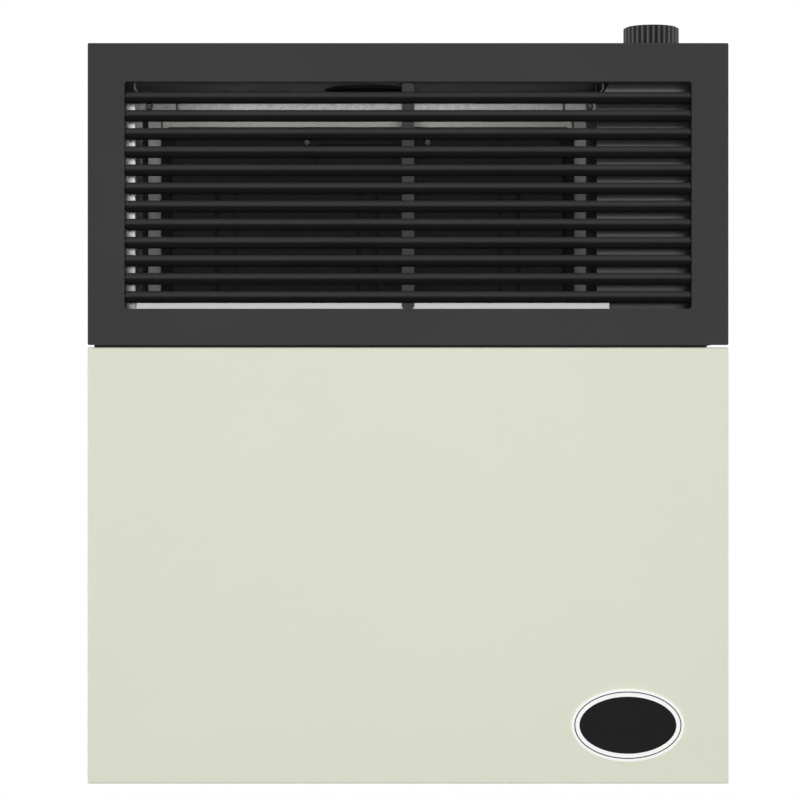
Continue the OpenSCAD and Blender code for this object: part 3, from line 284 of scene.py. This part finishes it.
def heat_tinted(name):
    """Stainless steel near a flame: straw to blue-brown bands over a fine grain."""
    mat, g = new_material(name)
    tone = g.ramp(g.noise(14.0, 2.0), [(0.30, (0.56, 0.54, 0.50)), (0.50, (0.52, 0.42, 0.28)),
                                       (0.62, (0.34, 0.26, 0.24)), (0.75, (0.24, 0.27, 0.36))])
    grain = g.noise(1200.0, 3.0)
    g.coat(Base_Color=tone, Metallic=1.0, Roughness=g.spread(grain, 0.32, 0.48),
           Normal=g.bump(grain, 0.08, 0.0001))
    return mat


def woven(name):
    """Glass-fibre tape: a small over-and-under weave."""
    mat, g = new_material(name)
    weave = g.math("MULTIPLY", g.wave("X", 320.0), g.wave("Z", 320.0))
    tone = g.ramp(weave, [(0.0, (0.52, 0.50, 0.44)), (0.6, (0.80, 0.78, 0.72))])
    g.coat(Base_Color=tone, Roughness=0.95, Normal=g.bump(weave, 0.5, 0.0004))
    return mat


def plastic(name, colour, rough, speck=0.02, specular=0.5, flute_shade=None):
    """Moulded plastic or glaze: nearly even colour with a fine moulded grain. The flute shade
    gives a point of the upright axis and the radii of the flutes' valleys and crests; the
    valleys are darkened towards the crests, as painted shade."""
    mat, g = new_material(name)
    fine = g.noise(1400.0, 4.0, 0.6)
    tone = g.ramp(g.noise(50.0, 2.0),
                  [(0.3, tinted(colour, 1 - speck)), (0.7, tinted(colour, 1 + speck))])
    # painted shade: the flutes' valleys darker than their crests
    if flute_shade:
        x, y, inner, outer = flute_shade
        squares = [g.math("POWER", g.math("SUBTRACT", g.along(axis), at), 2.0)
                   for axis, at in (("X", x), ("Y", y))]
        radius = g.math("SQRT", g.math("ADD", *squares))
        tone = g.scaled(tone, g.spread(radius, 0.1, 1.0, inner, outer))
    g.coat(Base_Color=tone, Roughness=g.spread(fine, rough - 0.06, rough + 0.06),
           Normal=g.bump(fine, 0.12, 0.0001), Specular_IOR_Level=specular)
    return mat


def clear_glass(name):
    """Sight glass with a faint haze of soot in places."""
    mat, g = new_material(name)
    haze = g.noise(90.0, 3.0)
    tone = g.ramp(haze, [(0.35, (0.93, 0.96, 0.96)), (0.75, (0.80, 0.80, 0.76))])
    g.coat(Base_Color=tone, Roughness=g.spread(haze, 0.02, 0.12), Transmission_Weight=1.0, IOR=1.47)
    return mat


# What each material slot of the record looks like.
BLACK_ENAMEL = coating("black vitreous enamel", (0.0072, 0.0075, 0.0082), rough=0.48, grain=0.14,
                       grain_scale=1500.0, mottle=0.15, specular=0.25)
SLOT_FINISHES = {
    "charcoal_coat": coating("charcoal powder coat", (0.042, 0.042, 0.0425), rough=0.55, grain=0.16,
                             grain_scale=2600.0, mottle=0.05, specular=0.03),
    "cream_enamel": coating("cream stove enamel", (0.64, 0.65, 0.54), rough=0.34, grain=0.05,
                            grain_scale=1200.0, mottle=0.006, coat=0.2, specular=0.4),
    "black_enamel": BLACK_ENAMEL,
    "badge_enamel": coating("white badge enamel", (0.86, 0.86, 0.85), rough=0.22, grain=0.03,
                            grain_scale=1500.0, mottle=0.004, coat=0.3),
    "galvanised_steel": galvanised("spangled zinc", (0.88, 0.89, 0.88)),
    "zinc_steel": metal("bright zinc plate", (0.72, 0.72, 0.73), rough=0.30),
    "burner_steel": heat_tinted("heat-tinted stainless"),
    "fibre_gasket": woven("woven glass fibre"),
    "clear_glass": clear_glass("sight glass"),
    "brass_fitting": metal("turned brass", (0.80, 0.60, 0.28), rough=0.26, brush=(1.0, 1.0, 9.0)),
    "copper": metal("drawn copper", (0.78, 0.42, 0.27), rough=0.30, brush=(1.0, 1.0, 0.2),
                    variation=0.2),
    "cast_aluminium": metal("cast aluminium", (0.66, 0.66, 0.67), rough=0.46, variation=0.1,
                            bump=0.25, scale=1300.0),
    "white_ceramic": plastic("glazed ceramic", (0.88, 0.87, 0.83), rough=0.18),
    "silicone_sleeve": plastic("silicone sleeve", (0.42, 0.06, 0.04), rough=0.55, speck=0.08),
    "black_plastic": plastic("phenolic moulding", (0.014, 0.014, 0.015), rough=0.3, speck=0.05,
                             specular=0.45),
}

# Pieces finished apart from the rest of their slot. Many are lighter or darker copies of
# the slot's finish, or carry fades, that paint in the light and shade falling on them; the
# others differ in paint or plating.
NODE_FINISHES = {
    # The rods are darkened where they face down: painted shade on their undersides.
    "grille_rods": coating("rod powder coat", (0.038, 0.0385, 0.0398), rough=0.5, grain=0.12,
                           grain_scale=2600.0, mottle=0.04, specular=0.03, underside_shade=0.84),
    # A lighter copy of the charcoal coat: painted light on the tie bar.
    "grille_tie_bar": coating("tie bar powder coat", (0.056, 0.056, 0.057), rough=0.5, grain=0.2,
                              grain_scale=2600.0, mottle=0.05, specular=0.03),
    # Glossy black heat paint, darker towards its right end as painted shade and lighter towards its
    # top as painted light.
    "control_cover": coating("glossy heat paint", (0.014, 0.014, 0.015), rough=0.17, grain=0.05,
                             grain_scale=1800.0, mottle=0.08, specular=1.0,
                             painted_light_fades=[("X", 1.0, 0.58, 0.227, 0.2345),
                                    ("Z", 0.72, 1.62, 0.10, 0.275)]),
    "compartment_wall": coating("grey heat paint", (0.045, 0.045, 0.044), rough=0.5, grain=0.2,
                                grain_scale=1800.0, mottle=0.12, specular=0.4),
    "shield_legs": coating("sooty legs", (0.07, 0.068, 0.064), rough=0.6, grain=0.2,
                           grain_scale=1800.0, mottle=0.1, specular=0.1),
    # A darker copy of the zinc, darker still towards both ends: painted shade under the hood.
    "top_deflector": galvanised("sheet zinc", (0.52, 0.54, 0.545), metallic=0.2, rough=0.5,
                                painted_light_fades=[("X", 0.2, 1.0, -0.25, -0.165),
                                       ("X", 1.0, 0.45, 0.10, 0.165)]),
    # A darker copy of the zinc: painted shade on the brackets.
    "deflector_brackets": galvanised("shaded zinc", (0.45, 0.46, 0.46), metallic=0.5, rough=0.5),
    # Lighter towards its bend as a painted highlight, and darker low down as painted shade.
    "left_side_shield": galvanised("zinc with painted bend highlight", (0.70, 0.71, 0.72), metallic=0.9, rough=0.2,
                                   painted_light_fades=[("X", 0.8, 1.5, -0.237, -0.2325),
                                          ("Z", 0.5, 1.0, 0.10, 0.17)]),
    # Paler than zinc can be: painted light on the lip seen under the lowest rod.
    "front_heat_shield": galvanised("bright zinc", (1.36, 1.36, 1.34), metallic=0.0, rough=0.75,
                                    speckle=0.03, specular=0.0),
    # The shield's border: a darker copy of the field's zinc, darker to the right and low down, with
    # painted shadow lines at the field's edges: painted shade.
    "rear_shield": galvanised("grey zinc", (0.74, 0.755, 0.73), metallic=0.0, rough=0.55,
                              speckle=0.06, painted_light_fades=[("X", 1.0, 0.68, 0.0, 0.15),
                                                   ("Z", 0.62, 1.0, 0.195, 0.235)],
                              step_shadow=REAR_FIELD_X),
    # Darker towards both ends as painted shade, with painted shadow lines at the edges of its
    # notches.
    "cross_brace": galvanised("brace zinc", (0.95, 0.97, 0.96), metallic=0.5, rough=0.45,
                              speckle=0.14, painted_light_fades=[("X", 0.42, 1.0, -0.21, -0.14),
                                                   ("X", 1.0, 0.42, 0.04, 0.16)],
                              step_shadow=BRACE_NOTCHES_X),
    # The knob's flute valleys are darkened towards the crests: painted shade.
    "control_knob": plastic("phenolic with painted flute shade", (0.095, 0.096, 0.10), rough=0.35, speck=0.05,
                            specular=0.1, flute_shade=(*KNOB_AT, *KNOB_FLUTES)),
    "brace_screws": metal("blackened screws", (0.32, 0.32, 0.33), rough=0.24),
    "casing_screws": metal("dulled zinc plate", (0.40, 0.40, 0.41), rough=0.32),
    "inspection_screws": metal("dark screws", (0.20, 0.20, 0.21), rough=0.25),
}

# Finishes of single faces.
BADGE_BLACK = coating("black badge enamel", (0.008, 0.008, 0.009), rough=0.26, grain=0.03,
                      grain_scale=1500.0, mottle=0.03, specular=0.1)
# The field's warm zinc, brighter than zinc is as painted light, darker towards both ends as painted
# shade, with painted shadow lines at its edges.
WARM_ZINC_PAINTED_LIGHT = galvanised("warm zinc with painted light", (1.30, 1.28, 1.19), metallic=0.0, rough=0.55, speckle=0.06,
                       painted_light_fades=[("X", 0.72, 1.0, -0.215, -0.15), ("X", 1.0, 0.6, 0.03, 0.14)],
                       step_shadow=REAR_FIELD_X)

SLOT_OF = {part["node"]: part["material_slot"] for part in frame["record"]["subparts"]}


def dress(node, slot):
    """The node's own finish or its slot's, with smooth shading and its sharp folds kept."""
    mesh = frame["nodes"][node].data
    mesh.materials.clear()
    mesh.materials.append(NODE_FINISHES[node] if node in NODE_FINISHES else SLOT_FINISHES[slot])
    mesh.polygons.foreach_set("use_smooth", [True] * len(mesh.polygons))
    mesh.set_sharp_from_angle(angle=math.radians(SMOOTH_BELOW))


def paint(node, finish, chosen):
    """Gives the chosen faces of a node another finish."""
    mesh = frame["nodes"][node].data
    mesh.materials.append(finish)
    for face in mesh.polygons:
        if chosen(face.center, face.normal):
            face.material_index = len(mesh.materials) - 1


def in_recess(at):
    x, y, radius = RECESS_AT
    return math.hypot(at.x - x, at.y - y) < radius


for node_name, slot_name in SLOT_OF.items():
    dress(node_name, slot_name)

# The sunk field and line of the badge are black, and its raised rim and band white.
badge_depths = [v.co.y for v in frame["nodes"]["badge_plate"].data.vertices]
paint("badge_plate", BADGE_BLACK, lambda at, facing: facing.y < -FACING
      and min(badge_depths) + BADGE_STEP < at.y < max(badge_depths) - BADGE_STEP)
# The pressed field of the rear shield gets a warm zinc paler than real zinc: painted light.
paint("rear_shield", WARM_ZINC_PAINTED_LIGHT, lambda at, facing: at.y > REAR_FIELD_Y
      and facing.y < -FIELD_FACING)
# Painted shade: the underside of the hood, the deflector's upstands and its round recess,
# and the tongue behind the seam are given black enamel, as dark as the shade they lie in.
paint("upper_casing", BLACK_ENAMEL, lambda at, facing: facing.z < -FACING and at.z > UNDERSIDE_Z
      or facing.y < -FACING and abs(at.y - TONGUE_Y) < TONGUE_REACH)
paint("top_deflector", BLACK_ENAMEL, lambda at, facing: at.z > UPSTAND_Z or in_recess(at))


# ------------------------------------------------------------------ spring copies on the cabinet

def add_object(name, data):
    obj = bpy.data.objects.new(name, data)
    bpy.context.scene.collection.objects.link(obj)
    return obj


def squeezable(spring):
    """A copy of a coil spring, carried by the cabinet, in place of the hidden original."""
    node = frame["nodes"][spring]
    coil = add_object(spring + "_coil", node.data.copy())
    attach(coil, "cabinet")
    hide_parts(spring)
    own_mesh(coil)


squeezable("knob_spring")
squeezable("button_spring")


# ------------------------------------------------------------------ floor, world, lights, camera

def seen_directly(g):
    """1 for camera, mirror and see-through rays, which show the white background."""
    path = g.add("LightPath").outputs
    direct = g.math("MAXIMUM", path["Is Camera Ray"], path["Is Glossy Ray"])
    return g.math("MAXIMUM", direct, path["Is Transmission Ray"])


def make_floor(low_z):
    """A pale disc that fades to white away from the heater, and is clear from below."""
    turns = [2 * math.pi * i / FLOOR_SIDES for i in range(FLOOR_SIDES)]
    ring = [(FLOOR_RADIUS * math.cos(turn), FLOOR_RADIUS * math.sin(turn), 0) for turn in turns]
    mesh = bpy.data.meshes.new("floor")
    mesh.from_pydata(ring, [], [list(range(FLOOR_SIDES))])
    floor = add_object("floor", mesh)
    floor.location = (0, 0, low_z - FLOOR_DROP)
    mat, g = new_material("pale floor")
    away = g.add("VectorMath", {"operation": "LENGTH"})
    g.put(away, "0", g.place())
    fade = g.spread(away.outputs["Value"], 0.0, 1.0, SHADOW_RADIUS * 0.6, SHADOW_RADIUS * 1.6)
    whiten = g.math("MULTIPLY", fade, seen_directly(g))
    speckle = g.ramp(g.noise(40.0, 4.0), [(0.3, grey(0.80)), (0.7, grey(0.84))])
    bounce = g.spread(g.add("LightPath").outputs["Is Diffuse Ray"], 1.0, 0.4, 0.0, 1.0)
    matte = g.add("BsdfDiffuse", Color=g.scaled(speckle, bounce)).outputs[0]
    white = g.add("Emission", Color=grey(1.0), Strength=1.0).outputs[0]
    from_below = g.add("NewGeometry").outputs["Backfacing"]
    clear = g.add("BsdfTransparent").outputs[0]
    g.finish(g.mixed(g.mixed(matte, white, whiten), clear, from_below))
    mesh.materials.append(mat)


def make_world():
    world = bpy.data.worlds.new("studio")
    bpy.context.scene.world = world
    g = Graph(world)
    strength = g.spread(seen_directly(g), AMBIENT, 1.0, 0.0, 1.0)
    back = g.add("Background", Color=grey(1.0), Strength=strength)
    g.finish(back.outputs[0], "OutputWorld")


def softbox(name, at, target, width, height, power, visible_in_gloss):
    light = bpy.data.lights.new(name, "AREA")
    light.shape = "RECTANGLE"
    light.size = width
    light.size_y = height
    light.energy = power
    obj = add_object(name, light)
    obj.location = at
    aim = Vector(target) - Vector(at)
    obj.rotation_euler = aim.to_track_quat("-Z", "Y").to_euler()
    obj.visible_glossy = visible_in_gloss


SOFTBOXES = [
    # name, place, aimed at, width, height, watts, seen in gloss
    ("front", (0, -3.6, 0.6), (0, -0.2, 0.0), 3.4, 1.0, 14, False),
    ("by the camera", (0, -2.75, 0.02), (0, -0.2, 0.0), 0.4, 0.2, 46, False),
    ("high", (-0.2, -1.9, 1.9), (0, -0.2, 0.1), 2.4, 0.9, 10, True),
    ("left", (-2.4, -0.3, 0.2), (0, 0, 0.0), 0.6, 1.6, 15, True),
    ("right", (2.4, -0.3, 0.2), (0, 0, 0.0), 0.6, 1.6, 15, True),
    ("top", (0, 0.1, 2.4), (0, 0, 0), 1.6, 1.2, 22, True),
    ("back", (0, 2.8, 0.7), (0, 0, 0), 2.6, 1.6, 46, False),
]

make_floor(cad_bounds[0][2])
make_world()
for box in SOFTBOXES:
    softbox(*box)

camera_data = bpy.data.cameras.new("camera")
camera_data.lens = CAMERA_LENS
camera_data.sensor_width = SENSOR_WIDTH
camera = add_object("camera", camera_data)
camera.location = CAMERA_AT
camera.rotation_euler = (math.pi / 2, 0, 0)
bpy.context.scene.camera = camera

bpy.context.scene.view_settings.view_transform = "Standard"
